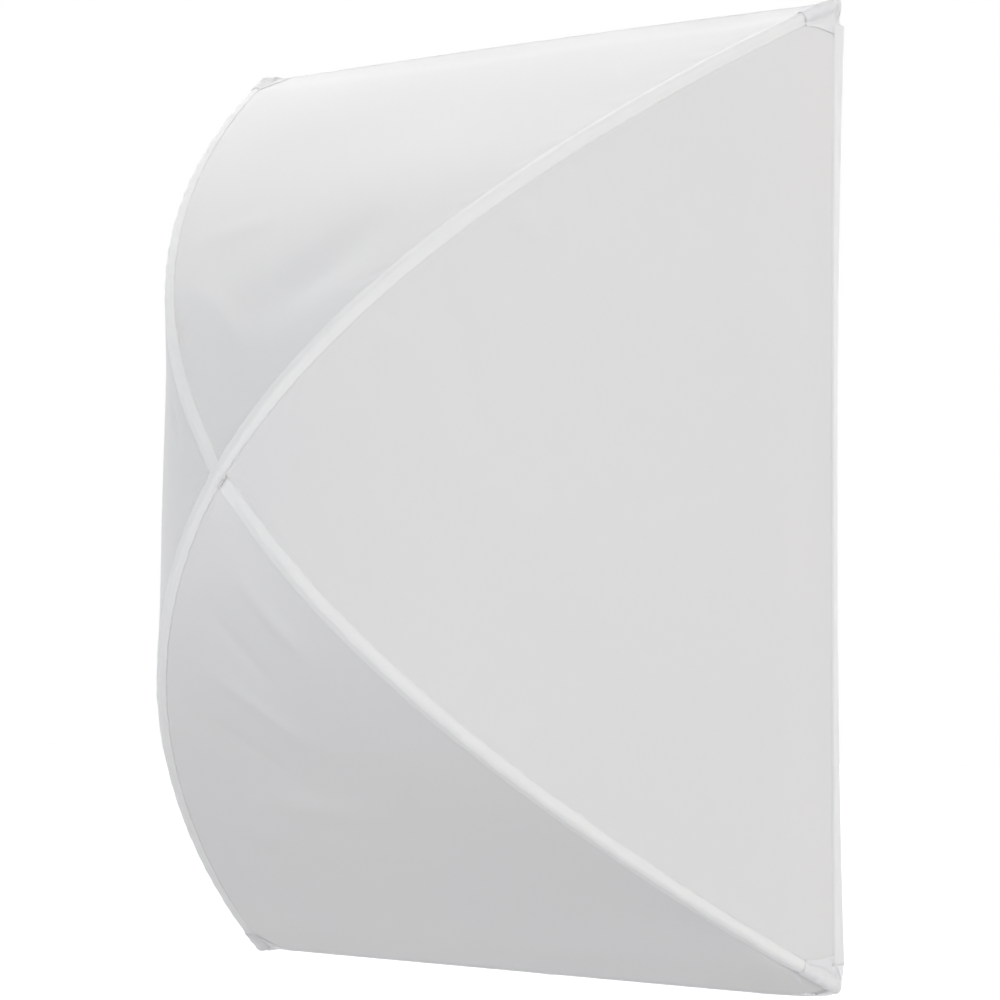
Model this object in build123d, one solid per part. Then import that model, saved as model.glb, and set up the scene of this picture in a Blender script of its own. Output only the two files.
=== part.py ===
from build123d import *
from itertools import combinations, pairwise
from math import atan2, hypot, prod, sin, sqrt
import os

# Collapsible dome softbox of white diffusion cloth. Two long fibreglass poles cross at the tip of
# the dome and spring its four cloth panels out from a rectangular mouth. A flat rim behind the
# mouth has an elastic opening that grips the edge of a panel light.
#
# Frame, in millimetres: +X to the right, +Z up, the dome points along -Y, and the origin is the
# centre of the fixture opening on the rear face of the rim.

# ---- Driving dimensions ---------------------------------------------------------------------

mouth_width = 750.0  # between the tips of the poles
mouth_height = 1000.0
dome_depth = 515.0  # from the plane of the pole tips to the tip of the dome
bow_fullness = 0.08  # share of a fourth-power term in the curve of a bent pole

cloth = 1.5  # a panel with its seam allowances
seam_gap = 0.3  # between any two sewn pieces

pole_diameter = 7.9
pole_bore = 4.5
sections_each_side = 1  # besides the middle section, which bridges the crossing
bow_arcs = 3  # tangent arcs that draw half a bent pole
seam_steps = 8  # straight cuts that follow a seam in the front view
seam_ease = 0.45  # more room beside a panel, whose cut edge is straight between its points
vault_overrun = 1.1  # length of an uncut panel, against the side it is cut to
pole_end_gap = 0.6  # between the ends of two sections inside their ferrule
pole_crossing_gap = 0.4  # between the two poles where they cross

ferrule_wall = 0.8
ferrule_length = 60.0
ferrule_clearance = 0.15

tip_diameter = 9.8
tip_length = 14.0
tip_spigot_length = 12.0
tip_spigot_clearance = 0.15
tip_nose_chamfer = 1.5
tip_cord_bore = 3.8
tip_cord_bore_depth = 6.0  # beyond the end of the pole

shock_cord_diameter = 3.0
shock_cord_slack = 1.0  # between the knot end of the cord and the bottom of its bore

sleeve_bore = 13.8
sleeve_wall = 1.1

pocket_length = 45.0
pocket_bore_clearance = 0.5
pocket_wall = 4.0
pocket_bottom = 3.0
pocket_edge_chamfer = 2.0

patch_diameter = 30.0
patch_thickness = 2.4
patch_chamfer = 1.0

edge_band_depth = 18.0

opening_width = 560.0  # clear, inside the binding
opening_height = 860.0
opening_corner_radius = 60.0
binding_width = 10.0
binding_thickness = 5.0
elastic_width = 6.0
elastic_thickness = 1.6
tunnel_clearance = 0.4  # round the elastic inside the binding

tab_height = 25.0
tab_thickness = 1.8
tab_length = 66.0
tab_grip = 8.0  # rounded free end that stands clear of the loop pad
tab_corner_radius = 6.0
tab_spacing = 600.0  # between the upper and the lower tabs
tab_inset = 6.0  # from the binding to the fold line
anchor_length = 18.0
pad_length = 34.0
patch_cloth = 1.5  # anchors and loop pads

# ---- Sizes that follow ----------------------------------------------------------------------

pole_radius = pole_diameter / 2
ferrule_bore_radius = pole_radius + ferrule_clearance
ferrule_radius = ferrule_bore_radius + ferrule_wall
sleeve_radius = sleeve_bore / 2 + sleeve_wall
pocket_bore_radius = tip_diameter / 2 + pocket_bore_clearance
pocket_radius = pocket_bore_radius + pocket_wall

tip_plane_y = -(cloth + seam_gap + edge_band_depth + seam_gap)
pole_offset = (pole_diameter + pole_crossing_gap) / 2
upper_depth = dome_depth + pole_offset
lower_depth = dome_depth - pole_offset

half_mouth = Vector(mouth_width / 2, 0, mouth_height / 2)
sides = {"top_left": (-1, 1), "top_right": (1, 1), "bottom_left": (-1, -1), "bottom_right": (1, -1)}
reach_of = {name: Vector(x * half_mouth.X, 0, z * half_mouth.Z) for name, (x, z) in sides.items()}
quarters = {
    "top": ("top_left", "top_right"),
    "bottom": ("bottom_left", "bottom_right"),
    "left": ("bottom_left", "top_left"),
    "right": ("bottom_right", "top_right"),
}
# The upper pole runs from the bottom left to the top right corner, over the lower pole.
depth_of = {name: upper_depth if x == z else lower_depth for name, (x, z) in sides.items()}
poles = {"upper": "top_right", "lower": "bottom_right"}

fold_x = opening_width / 2 + binding_width + tab_inset
tab_front_y = seam_gap + patch_cloth + seam_gap
fold_y = tab_front_y + tab_thickness / 2

# Each sleeve stops where its neighbours' sides would meet it at the crossing.
crossing_angle = 2 * atan2(mouth_width, mouth_height)
sleeve_start = (sleeve_radius + seam_gap) / sin(crossing_angle / 2)

BASE = (Align.CENTER, Align.CENTER, Align.MIN)


# ---- Bent poles -----------------------------------------------------------------------------


def rise_at(share):
    """Height of the bow above its tips, as a share of its depth, from its middle to its tip."""
    return 1 - (1 + bow_fullness) * share**2 + bow_fullness * share**4


def fall_rate_at(share):
    """How fast that height falls there."""
    return 2 * (1 + bow_fullness) * share - 4 * bow_fullness * share**3


def bow(depth, reach, start, end):
    """The curve of a bent strip between two shares of its half span, as one exact Bezier edge.

    With r the share of the way from the middle to the tip at `reach`, the curve stands
    depth * (1 - (1 + e) r^2 + e r^4) in front of the tips, where e is the fullness. Each control
    point is the polar form of that polynomial, taken at the start and the end in turn.
    """
    points = []
    for at_end in range(5):
        shares = [start] * (4 - at_end) + [end] * at_end
        mean = sum(shares) / 4
        square = sum(a * b for a, b in combinations(shares, 2)) / 6
        rise = 1 - (1 + bow_fullness) * square + bow_fullness * prod(shares)
        points.append(Vector(reach.X * mean, tip_plane_y - depth * rise, reach.Z * mean))
    return Bezier(*points)


def pole_line(corner):
    """Tangent arcs laid through the bow, from the far tip of a pole to its tip at this corner."""
    depth, reach = depth_of[corner], reach_of[corner]
    shares = [index / bow_arcs for index in range(1, bow_arcs + 1)]
    first_span = bow(depth, reach, -shares[0], shares[0])
    middle = ThreePointArc(first_span @ 0, bow(depth, reach, 0, 1) @ 0, first_span @ 1)
    near_arcs = []
    direction = middle % 1
    for start, end in pairwise(shares):
        span = bow(depth, reach, start, end)
        near_arcs.append(TangentArc(span @ 0, span @ 1, tangent=direction))
        direction = near_arcs[-1] % 1
    far_arcs = [Rot(0, 180, 0) * arc for arc in reversed(near_arcs)]
    return Wire(far_arcs + [middle] + near_arcs)


def stretch(corner, start, end):
    """Part of a pole between two distances from its middle, negative ones on its far half."""
    line = pole_line(corner)
    if (line @ 0 - reach_of[corner]).length < (line @ 1 - reach_of[corner]).length:
        start, end = -end, -start
    return line.trim(0.5 + start / line.length, 0.5 + end / line.length)


def tip_distance(corner):
    """Length of half a pole, from its middle to the end of its tip."""
    return pole_line(corner).length / 2


def rod_half(corner):
    """Length of half a pole up to where the tip is plugged in."""
    return tip_distance(corner) - tip_length


def tube(path, radius, bore_radius=0.0):
    section = Circle(radius)
    if bore_radius > 0:
        section = section - Circle(bore_radius)
    return sweep(Plane(origin=path @ 0, z_dir=path % 0) * section, path=path)


def pole_plane(corner, distance):
    """Plane square to a pole at a distance from its middle, facing its tip at this corner."""
    path = stretch(corner, 0, distance)
    if (path @ 0 - reach_of[corner]).length < (path @ 1 - reach_of[corner]).length:
        return Plane(origin=path @ 0, z_dir=(path % 0) * -1)
    return Plane(origin=path @ 1, z_dir=path % 1)


def joint_places(corner):
    """Distances from the middle of the pole to its ends and to the joints between."""
    section_count = 2 * sections_each_side + 1
    pitch = 2 * rod_half(corner) / section_count
    return [index * pitch - rod_half(corner) for index in range(section_count + 1)]


def pole_sections(corner):
    """Equal lengths of tube, end to end, with a small gap inside each ferrule."""
    places = joint_places(corner)
    starts = [places[0]] + [place + pole_end_gap / 2 for place in places[1:-1]]
    ends = [place - pole_end_gap / 2 for place in places[1:-1]] + [places[-1]]
    spans = zip(starts, ends)
    return [tube(stretch(corner, *span), pole_radius, pole_bore / 2) for span in spans]


def pole_ferrules(corner):
    """A steel sleeve over each joint between two sections."""
    ferrules = []
    for place in joint_places(corner)[1:-1]:
        path = stretch(corner, place - ferrule_length / 2, place + ferrule_length / 2)
        ferrules.append(tube(path, ferrule_radius, ferrule_bore_radius))
    return ferrules


def pole_tip(corner):
    """End cap whose spigot plugs the pole and whose blind bore holds the knot of the cord."""
    head = Cylinder(tip_diameter / 2, tip_length, align=BASE)
    head = chamfer(head.edges().sort_by(Axis.Z)[-1], tip_nose_chamfer)
    plug_radius = pole_bore / 2 - tip_spigot_clearance
    plug = Pos(0, 0, -tip_spigot_length) * Cylinder(plug_radius, tip_spigot_length, align=BASE)
    bore_length = tip_spigot_length + tip_cord_bore_depth
    bore = Pos(0, 0, -tip_spigot_length) * Cylinder(tip_cord_bore / 2, bore_length, align=BASE)
    return pole_plane(corner, rod_half(corner)) * (head + plug - bore)


def shock_cord(corner):
    end = rod_half(corner) + tip_cord_bore_depth - shock_cord_slack
    return tube(stretch(corner, -end, end), shock_cord_diameter / 2)


# ---- Sleeves, pockets and the crossing ------------------------------------------------------


def sleeve_at(corner):
    """Cloth tube sewn into the seam between two panels, with the pole loose inside it."""
    end = tip_distance(corner) - pocket_length - seam_gap
    return tube(stretch(corner, sleeve_start, end), sleeve_radius, sleeve_bore / 2)


def pocket_rod(corner, radius, front, behind):
    """Straight rod about the end of a pole, from before its tip to beyond it."""
    rod = Pos(0, 0, -front) * Cylinder(radius, front + behind, align=BASE)
    return pole_plane(corner, tip_distance(corner)) * rod


def pocket_at(corner):
    """Closed cup of webbing that takes the tip of a pole."""
    cup = pocket_rod(corner, pocket_radius, pocket_length, seam_gap + pocket_bottom)
    tip_axis = Axis(reach_of[corner] * 0, reach_of[corner])
    closed_end = cup.edges().filter_by(GeomType.CIRCLE).sort_by(tip_axis)[-1]
    cup = chamfer(closed_end, pocket_edge_chamfer)
    return cup - pocket_rod(corner, pocket_bore_radius, pocket_length, seam_gap)


def pocket_clearance(corner):
    behind = seam_gap + pocket_bottom + seam_gap
    return pocket_rod(corner, pocket_radius + seam_gap, pocket_length + seam_gap, behind)


def crossing_disc():
    """Round patch, flat below, with a bevelled upper edge."""
    disc = Cylinder(patch_diameter / 2, patch_thickness, align=BASE)
    return chamfer(disc.edges().sort_by(Axis.Z)[-1], patch_chamfer)


# ---- Dome panels ----------------------------------------------------------------------------


def vault(across, along):
    """Sheet bent like a tunnel: its arch spans the mouth one way, its rulings run the other."""
    half_wall = across.normalized() * (cloth / 2)
    outer = bow(dome_depth + cloth / 2, across + half_wall, -1, 1)
    inner = bow(dome_depth - cloth / 2, across - half_wall, -1, 1)
    section = make_face([outer, Line(outer @ 1, inner @ 1), inner, Line(inner @ 0, outer @ 0)])
    return extrude(section, amount=along.length, dir=along.normalized(), both=True)


def seam_point(corner, across, place, radius):
    """Point in the front view where a panel lies a given radius from a place on a pole.

    In a plane square to the pole, the panel is a straight line with some slope that passes the
    pole at some offset, because the two poles lie in front of and behind the dome's own surface.
    """
    reach = reach_of[corner]
    share = hypot(place.X, place.Z) / reach.length
    along, middle = reach.normalized(), across.normalized()
    inward = (middle - along * middle.dot(along)).normalized()
    squareness = 1 / hypot(1, depth_of[corner] * fall_rate_at(share) / reach.length)
    offset = (tip_plane_y - place.Y - dome_depth * rise_at(share)) * squareness
    slope = dome_depth * fall_rate_at(share) / across.length * inward.dot(middle) * squareness
    reached = sqrt(radius**2 * (1 + slope**2) - offset**2)
    return reach * share + inward * ((reached - slope * offset) / (1 + slope**2))


def seam_line(corner, across):
    """One side of a panel's outline in the front view, from the crossing out past the mouth.

    It widens for the pocket a pocket's radius early, since the end of a pocket is square to its
    pole and so slants in the front view.
    """
    widening = pocket_length + pocket_radius
    beside_pole = tip_distance(corner) - widening
    stations = [beside_pole * step / seam_steps for step in range(1, seam_steps + 1)]
    beside_sleeve = [pole_plane(corner, station).origin for station in stations]
    tip = pole_plane(corner, tip_distance(corner))
    beside_pocket = [tip.origin - tip.z_dir * widening, tip.origin]
    keep_off = seam_gap + seam_ease + cloth / 2
    points = [seam_point(corner, across, p, sleeve_radius + keep_off) for p in beside_sleeve]
    points += [seam_point(corner, across, p, pocket_radius + keep_off) for p in beside_pocket]
    return points + [points[-1] + reach_of[corner] * (vault_overrun - 1)]


def dome_panel(first, second):
    """Quarter of the dome between two corners, cut back to its seams beside the sleeves."""
    across = (reach_of[first] + reach_of[second]) * 0.5
    half_side = reach_of[first] - across
    angle = atan2(half_side.length, across.length)
    beside_crossing = sqrt((sleeve_radius + seam_gap + cloth / 2) ** 2 - pole_offset**2)
    tip = across.normalized() * (beside_crossing / sin(angle))
    sides_there_and_back = seam_line(first, across) + seam_line(second, across)[::-1]
    outline = make_face(Polyline(tip, *sides_there_and_back, close=True))
    region = extrude(outline, amount=2 * (dome_depth - tip_plane_y), dir=(0, -1, 0))
    return vault(across, half_side * vault_overrun) & region


# ---- Edge bands, rim and opening ------------------------------------------------------------


def slab(sketch, front_y, rear_y):
    """An upright sketch, X across and Z up, given its thickness along Y."""
    upright = Plane(origin=(0, rear_y, 0), x_dir=(1, 0, 0), z_dir=(0, -1, 0))
    return extrude(upright * sketch, amount=rear_y - front_y)


def mouth_outline(growth):
    return Rectangle(mouth_width + 2 * growth, mouth_height + 2 * growth)


def opening_outline(growth):
    width = opening_width + 2 * growth
    return RectangleRounded(width, opening_height + 2 * growth, opening_corner_radius + growth)


def quarter(first, second):
    """The sector between the mitres at two corners, half a seam short of each."""
    inner_x = opening_width / 2 - opening_corner_radius
    inner_z = opening_height / 2 - opening_corner_radius
    outer_x = half_mouth.X + (half_mouth.X - inner_x)
    outer_z = half_mouth.Z + (half_mouth.Z - inner_z)
    (x1, z1), (x2, z2) = sides[first], sides[second]
    outline = [
        (x1 * inner_x, z1 * inner_z),
        (x1 * outer_x, z1 * outer_z),
        (x2 * outer_x, z2 * outer_z),
        (x2 * inner_x, z2 * inner_z),
    ]
    return offset(Polygon(*outline, align=None), -seam_gap / 2)


def edge_band(first, second):
    """Strip that turns the corner from a dome panel to the rim, notched for the pockets."""
    ring = mouth_outline(cloth / 2) - mouth_outline(-cloth / 2)
    band = slab(ring & quarter(first, second), tip_plane_y + seam_gap, -cloth - seam_gap)
    return band - pocket_clearance(first) - pocket_clearance(second)


def rear_rim(first, second):
    ring = mouth_outline(cloth / 2) - opening_outline(binding_width + seam_gap)
    return slab(ring & quarter(first, second), -cloth, 0)


def opening_tape(width, thickness):
    """Flat ring along the middle of the binding."""
    middle = binding_width / 2
    ring = opening_outline(middle + width / 2) - opening_outline(middle - width / 2)
    return slab(ring, -(cloth + thickness) / 2, -(cloth - thickness) / 2)


def opening_binding():
    tunnel = opening_tape(
        elastic_width + 2 * tunnel_clearance, elastic_thickness + 2 * tunnel_clearance
    )
    return opening_tape(binding_width, binding_thickness) - tunnel


# ---- Hook-and-loop tabs ---------------------------------------------------------------------


def tab_row(corner, start, length, front_y, thickness, corner_radius=0.0):
    """Strip that runs outwards from the fold line of a tab, a distance from that line."""
    x_side, z_side = sides[corner]
    middle_x = x_side * (fold_x + start + length / 2)
    outline = Rectangle(length, tab_height)
    if corner_radius > 0:
        free_end = outline.vertices().sort_by(Axis.X)[-2:]
        outline = fillet(free_end, corner_radius)
    outline = Rot(0, 0, 0 if x_side > 0 else 180) * outline
    return slab(Pos(middle_x, z_side * tab_spacing / 2) * outline, front_y, front_y + thickness)


def fixture_tab(corner):
    """Flat strap whose sewn end is rounded about its fold line."""
    strap = tab_row(corner, 0, tab_length, tab_front_y, tab_thickness, tab_corner_radius)
    x_side, z_side = sides[corner]
    fold = Cylinder(tab_thickness / 2, tab_height)
    return strap + Pos(x_side * fold_x, fold_y, z_side * tab_spacing / 2) * fold


# ---- All pieces -----------------------------------------------------------------------------

pieces = {
    "opening_binding": opening_binding(),
    "opening_elastic": opening_tape(elastic_width, elastic_thickness),
}

for side, (first, second) in quarters.items():
    pieces[side + "_panel"] = dome_panel(first, second)
    pieces["edge_band_" + side] = edge_band(first, second)
    pieces["rear_rim_" + side] = rear_rim(first, second)

for corner in sides:
    pieces["sleeve_" + corner] = sleeve_at(corner)
    pieces["corner_pocket_" + corner] = pocket_at(corner)
    pieces["fixture_tab_" + corner] = fixture_tab(corner)
    pieces["tab_anchor_" + corner] = tab_row(corner, 0, anchor_length, seam_gap, patch_cloth)
    pad_start = tab_length - tab_grip - pad_length
    pieces["tab_pad_" + corner] = tab_row(corner, pad_start, pad_length, seam_gap, patch_cloth)

for pole, corner in poles.items():
    far_corner = {"top_right": "bottom_left", "bottom_right": "top_left"}[corner]
    for number, section in enumerate(pole_sections(corner), start=1):
        pieces[f"{pole}_pole_section_{number}"] = section
    pieces[pole + "_pole_ferrules"] = Compound(children=pole_ferrules(corner))
    pieces[pole + "_pole_tips"] = Compound(children=[pole_tip(far_corner), pole_tip(corner)])
    pieces[pole + "_pole_shock_cord"] = shock_cord(corner)

patch_y = tip_plane_y - upper_depth - sleeve_radius - seam_gap
fall_at_rim = lower_depth * (1 - rise_at(patch_diameter / 2 / half_mouth.length))
backing_y = tip_plane_y - lower_depth + fall_at_rim + sleeve_radius + seam_gap
pieces["crossing_patch"] = Pos(0, patch_y, 0) * Rot(90, 0, 0) * crossing_disc()
pieces["crossing_backing"] = Pos(0, backing_y, 0) * Rot(-90, 0, 0) * crossing_disc()

os.makedirs("parts", exist_ok=True)
for name, piece in pieces.items():
    export_step(piece, f"parts/{name}.step")
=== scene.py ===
from collections import namedtuple
from math import atan2, cos, pi, radians, sin

import bpy
import numpy as np
from mathutils import Matrix, Vector


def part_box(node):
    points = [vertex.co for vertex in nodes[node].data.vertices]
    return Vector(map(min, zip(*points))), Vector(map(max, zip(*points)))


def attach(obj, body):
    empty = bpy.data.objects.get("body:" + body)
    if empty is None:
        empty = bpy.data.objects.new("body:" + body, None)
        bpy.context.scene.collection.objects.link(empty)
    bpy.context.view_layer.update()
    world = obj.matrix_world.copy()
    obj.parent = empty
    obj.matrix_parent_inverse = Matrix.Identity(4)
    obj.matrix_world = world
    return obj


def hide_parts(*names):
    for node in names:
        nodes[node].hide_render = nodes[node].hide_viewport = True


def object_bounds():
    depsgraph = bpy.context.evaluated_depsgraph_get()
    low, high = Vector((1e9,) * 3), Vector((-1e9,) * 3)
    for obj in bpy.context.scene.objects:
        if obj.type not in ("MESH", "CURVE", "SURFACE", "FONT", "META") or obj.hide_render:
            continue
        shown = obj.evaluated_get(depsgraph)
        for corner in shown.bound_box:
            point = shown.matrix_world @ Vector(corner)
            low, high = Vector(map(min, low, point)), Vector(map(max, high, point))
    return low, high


# A collapsible dome softbox of white diffusion nylon, in metres: +X right, +Z up, the dome towards
# -Y. Two bent poles cross at the tip of the dome. Each runs in a cloth sleeve that is sewn into
# the seam between two panels, and ends in a pocket at a corner of the mouth. Behind the mouth an
# edge band turns in to a flat rim with an elastic opening and four hook-and-loop tabs.

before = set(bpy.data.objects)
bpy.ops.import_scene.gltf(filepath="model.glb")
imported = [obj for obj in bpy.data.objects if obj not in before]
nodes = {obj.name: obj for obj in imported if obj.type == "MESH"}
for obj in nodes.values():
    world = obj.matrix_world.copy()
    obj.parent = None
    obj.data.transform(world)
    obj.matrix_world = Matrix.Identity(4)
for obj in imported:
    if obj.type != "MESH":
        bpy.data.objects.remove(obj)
cad_low, cad_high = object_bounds()

# ---- Sizes ----------------------------------------------------------------------------------

CORNERS = {
    "top_left": (-1, 1),
    "top_right": (1, 1),
    "bottom_left": (-1, -1),
    "bottom_right": (1, -1),
}
PANELS = {
    "top": ("top_left", "top_right"),
    "bottom": ("bottom_left", "bottom_right"),
    "left": ("bottom_left", "top_left"),
    "right": ("bottom_right", "top_right"),
}
UPPER_POLE = ("top_right", "bottom_left")  # its sleeves pass over those of the lower pole

CAD_CLOTH = 0.0015
half_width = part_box("rear_rim_right")[1].x - CAD_CLOTH / 2
half_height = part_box("rear_rim_top")[1].z - CAD_CLOTH / 2
half_diagonal = (half_width**2 + half_height**2) ** 0.5
HALF_SIZES = np.array([half_width, 0, half_height])
BEHIND = np.array([0, 1, 0])
DOME_CENTRE = (0, -0.1, 0)
hem_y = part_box("edge_band_top")[0].y - 0.0003  # plane of the pole tips, where the panels end
rim_y = -0.0008  # middle of the rim cloth

opening_half_width = -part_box("opening_binding")[0].x
opening_half_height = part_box("opening_binding")[1].z
RIM_THICKNESS = 0.0005
BINDING_WIDTH = 0.010
BINDING_THICKNESS = 0.005
RUFFLE_LENGTH = 0.0085  # of the binding's small gathers
OPENING_CORNER = 0.070  # outside the binding

PANEL_THICKNESS = 0.0003
SLEEVE_THICKNESS = 0.00025
SLEEVE_CLEAR = 0.0051  # from the middle of the pole to the sleeve, over the ferrules
SLEEVE_SLACK = 0.0005  # more than that where the sleeve hangs easy
LEAST_SLACK = 0.0003
POLE_PER_SPAN = 1.3  # length along a sleeve per length of its diagonal in the front view
STITCH_LINE = 0.0064  # from the middle of the pole to the row of stitches
FLANGE_EDGE = 0.0077  # from the middle of the pole to the edge of the sleeve cloth
ARCH_COLUMNS = 17  # points of cloth across a pole
EDGE_RAISE = 0.0046  # from the middle of the pole out to the panels, which ride over it
FLANGE_LIFT = 0.00034  # from the middle of the panel to the middle of the sleeve cloth
BRIDGE_RAISE = 0.0048  # more, where the lower pole's sleeves rise to cross under the upper one's
BRIDGE_REACH = 0.07  # as a share of the half span
RAISE_FADES = 0.93  # share of the half span beyond which they come down to the hem
POCKET_LENGTH = 0.050
POCKET_LIFT = 0.00062  # from the middle of the panel to the middle of the pocket cloth
POCKET_CLEAR = 0.0064  # from the middle of the pole to the pocket
POCKET_BOTTOM = 0.0055  # from the end of the seam to the closed end of the pocket
POCKET_THICKNESS = 0.0003
FLAP_COLUMNS = 10  # points of cloth from a pocket's stitches out to its edge
POCKET_SPREAD = 0.0035  # how much further from the pole its stitches end up at the tip
CORNER_NOTCH = 0.021  # where the edge bands stop short of a corner
RIM_CUT = 0.025  # legs of the corners cut off the rim
GUSSET_REACH = 0.024  # how far the corner wall runs along the hem
GUSSET_COLUMNS = 41
GUSSET_CLEAR = 0.0008  # from the closed end of the pocket to that wall
CORNER_SHARE = 0.04  # of each side of the rim that runs round its two corners
RIM_COLUMNS = 200
CORNER_FULLNESS = {  # 0 where the rim cuts a corner straight, 1 where its curve fills it
    "top_left": 0.0,
    "top_right": 0.0,
    "bottom_left": 0.6,
    "bottom_right": 1.0,
}
CROSSING_HALF = 0.0065  # half the length of the keeper over the crossing
UNDER_SLEEVE = 0.0064  # from the crossing to where the lower sleeves start
KEEPER_CLEAR = 0.0070  # from the middle of the pole to the keeper
OVER_CROSSING = 0.0011  # how much further out the upper sleeve passes over the lower one
EDGE_CURL = 0.0052  # how far the upper sleeve's edges turn down at the crossing
CURL_REACH = 0.024  # from the crossing
CURL_INNER_SHARE = 0.3  # of that turn, halfway in to the stitches
TAB_Z = 0.3
REINFORCEMENT = 0.030  # how far the corner cloth runs along the hem

STITCH_PITCH = 0.0042
STITCH_LENGTH = 0.0031
THREAD = 0.00022  # radius

PANEL_ROWS = 170
PANEL_COLUMNS = 150
PANEL_START = 1.06  # of the share at which two stitch lines meet beside the crossing
PANEL_SAG = 0.0025
PANEL_WAVE = 0.0011
PANEL_WAVELENGTH = 0.28
PUCKER = 0.00045  # small puckers along the seams
PUCKER_LENGTH = 0.026
PUCKER_REACH = 0.016

# Soft folds of the panels, each along a line in the front view: start x, z, end x, z, half
# width of the fold, and height, negative inwards.
FOLDS = {
    "top": [
        (-0.115, 0.206, 0.003, 0.128, 0.010, 0.0030),
        (-0.138, 0.186, -0.019, 0.093, 0.010, -0.0030),
        (-0.151, 0.255, -0.063, 0.273, 0.014, 0.0015),
        (-0.020, 0.145, 0.098, 0.260, 0.035, -0.0060),
    ],
    "right": [
        (0.173, 0.216, 0.205, -0.001, 0.012, -0.0022),
        (0.190, 0.227, 0.238, 0.058, 0.018, 0.0012),
        (0.218, 0.264, 0.231, 0.227, 0.008, 0.0020),
        (0.132, 0.166, 0.149, 0.143, 0.006, -0.0018),
        (0.234, 0.312, 0.256, 0.303, 0.006, -0.0015),
        (0.343, 0.445, 0.343, 0.060, 0.020, 0.0040),
    ],
    "bottom": [
        (0.002, -0.089, 0.060, -0.182, 0.010, 0.0028),
        (-0.045, -0.117, 0.002, -0.214, 0.010, -0.0022),
        (-0.084, -0.175, 0.015, -0.278, 0.012, 0.0030),
        (-0.132, -0.215, -0.042, -0.316, 0.013, -0.0025),
        (-0.148, -0.319, 0.025, -0.337, 0.013, 0.0025),
        (-0.228, -0.354, -0.125, -0.412, 0.014, -0.0020),
    ],
    "left": [
        (-0.097, 0.080, -0.062, 0.028, 0.006, -0.0030),
    ],
}

# ---- Small helpers --------------------------------------------------------------------------


def unit(vectors):
    return vectors / np.maximum(np.linalg.norm(vectors, axis=-1, keepdims=True), 1e-12)


def dot(first, second):
    return (first * second).sum(axis=-1, keepdims=True)


def smooth(start, end, values):
    t = np.clip((values - start) / (end - start), 0, 1)
    return t * t * (3 - 2 * t)


def ripple(seed, u, v, wavelength):
    """Gentle irregular waves of about one unit, over two lengths along the cloth."""
    rng = np.random.default_rng(seed)
    total = 0
    for _ in range(7):
        angle, phase, stretch = rng.uniform(0, pi), rng.uniform(0, 2 * pi), rng.uniform(0.7, 1.5)
        phase_here = (u * cos(angle) + v * sin(angle)) * 2 * pi / (wavelength * stretch)
        total = total + np.sin(phase_here + phase)
    return total / 7**0.5


def lengths_along(points, axis):
    """Distance along a grid of points from the middle of that axis."""
    steps = np.linalg.norm(np.diff(points, axis=axis), axis=-1)
    start = np.zeros_like(np.take(steps, [0], axis=axis))
    total = np.concatenate([start, np.cumsum(steps, axis=axis)], axis=axis)
    return total - np.take(total, [points.shape[axis] // 2], axis=axis)


def mesh_object(name, points, faces, uv, material, body="softbox", slot=None):
    mesh = bpy.data.meshes.new(name)
    mesh.from_pydata([tuple(p) for p in points], [], [tuple(f) for f in faces])
    layer = mesh.uv_layers.new(name="cloth")
    corner_vertex = np.zeros(len(mesh.loops), dtype=np.int32)
    mesh.loops.foreach_get("vertex_index", corner_vertex)
    layer.data.foreach_set("uv", uv[corner_vertex].astype(np.float32).ravel())
    mesh.polygons.foreach_set("use_smooth", [True] * len(mesh.polygons))
    mesh.validate()
    piece = bpy.data.objects.new(name, mesh)
    bpy.context.scene.collection.objects.link(piece)
    mesh.materials.append(material)
    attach(piece, body)
    return piece


def grid_faces(rows, columns, wrap=False, first=0):
    faces = []
    last_column = columns if wrap else columns - 1
    for row in range(rows - 1):
        for column in range(last_column):
            beside = (column + 1) % columns
            here, above = first + row * columns, first + (row + 1) * columns
            faces.append((here + column, here + beside, above + beside, above + column))
    return faces


def cloth_grids(name, grids, material, thickness, outward, **facts):
    """One piece of cloth from one or more grids of points, given its thickness."""
    points, faces, uvs = [], [], []
    for grid in grids:
        faces += grid_faces(grid.shape[0], grid.shape[1], first=len(points))
        across = lengths_along(grid, 1)
        along = np.broadcast_to(
            lengths_along(grid, 0)[:, grid.shape[1] // 2, None], across.shape
        )
        uvs.append(np.stack([across, along], axis=-1).reshape(-1, 2))
        points += list(grid.reshape(-1, 3))
    piece = mesh_object(name, points, faces, np.concatenate(uvs), material, **facts)
    face_outward(piece, outward)
    shell = piece.modifiers.new("cloth", "SOLIDIFY")
    shell.thickness = thickness
    shell.offset = 0
    return piece


def face_outward(piece, outward):
    """Turns the faces over if most of them look inwards."""
    mesh = piece.data
    looking = sum(p.area * p.normal.dot(outward(p.center)) for p in mesh.polygons)
    if looking < 0:
        mesh.flip_normals()


def from_inside(centre):
    return lambda point: (point - Vector(centre)).normalized()


dome_outward = from_inside(DOME_CENTRE)


# ---- Materials ------------------------------------------------------------------------------


def linear(value):
    return ((value + 0.055) / 1.055) ** 2.4


def colour(red, green, blue):
    return (linear(red / 255), linear(green / 255), linear(blue / 255), 1)


def base_material(name, roughness, **sockets):
    material = bpy.data.materials.new(name)
    material.use_nodes = True
    shader = material.node_tree.nodes["Principled BSDF"]
    shader.inputs["Roughness"].default_value = roughness
    for socket, value in sockets.items():
        shader.inputs[socket.replace("_", " ")].default_value = value
    return material, material.node_tree, shader


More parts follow.
